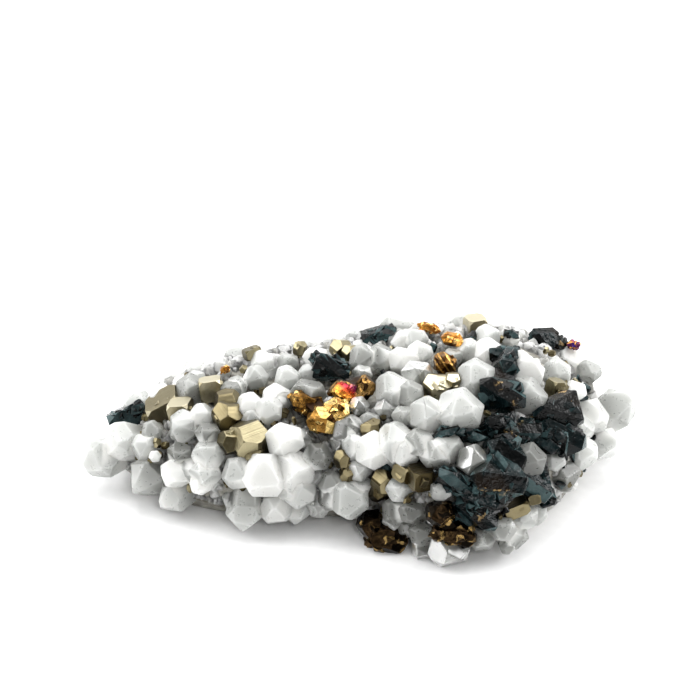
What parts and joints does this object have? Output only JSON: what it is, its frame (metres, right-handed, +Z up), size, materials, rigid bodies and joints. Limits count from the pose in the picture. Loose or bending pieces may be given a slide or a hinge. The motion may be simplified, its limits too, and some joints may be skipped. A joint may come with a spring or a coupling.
{
  "type": "pyrite in quartz specimen",
  "caption": "Plate of milky quartz crystals that radiate outwards, with brassy pyrite, gold-brown chalcopyrite and near-black sphalerite crystals set among them.",
  "frame": {"origin": "middle of the box round the specimen, on the surface that it rests on", "axes": "+X along the specimen towards its broader end, +Y to the back, away from the side that shows best, +Z up"},
  "size_m": [0.0567, 0.0355, 0.0159],
  "materials": {
    "quartz": "milky to grey translucent, glassy faces with a faint frost",
    "pyrite": "polished pale brassy metal lustre, finely striated",
    "chalcopyrite": "rough gold-brown metal lustre with a red, purple and blue tarnish in places",
    "sphalerite": "bright near-black lustre with a teal sheen"
  },
  "bodies": {
    "root": {"quartz": "quartz", "chalcopyrite_centre": "chalcopyrite", "chalcopyrite_crest": "chalcopyrite", "chalcopyrite_fleck": "chalcopyrite", "chalcopyrite_front": "chalcopyrite", "chalcopyrite_lower": "chalcopyrite", "chalcopyrite_orange": "chalcopyrite", "chalcopyrite_striated": "chalcopyrite", "chalcopyrite_tarnished": "chalcopyrite", "chalcopyrite_tip": "chalcopyrite", "pyrite_back_left": "pyrite", "pyrite_back_middle": "pyrite", "pyrite_back_right": "pyrite", "pyrite_brown": "pyrite", "pyrite_crest": "pyrite", "pyrite_grey": "pyrite", "pyrite_large": "pyrite", "pyrite_left": "pyrite", "pyrite_low_right": "pyrite", "pyrite_pair": "pyrite", "pyrite_pitted": "pyrite", "pyrite_right": "pyrite", "pyrite_under": "pyrite", "pyrite_upper": "pyrite", "pyrite_wedge": "pyrite", "sphalerite_crest": "sphalerite", "sphalerite_fleck": "sphalerite", "sphalerite_left": "sphalerite", "sphalerite_main": "sphalerite", "sphalerite_ridge": "sphalerite", "sphalerite_teal": "sphalerite", "sphalerite_upper": "sphalerite"}
  },
  "joints": []
}
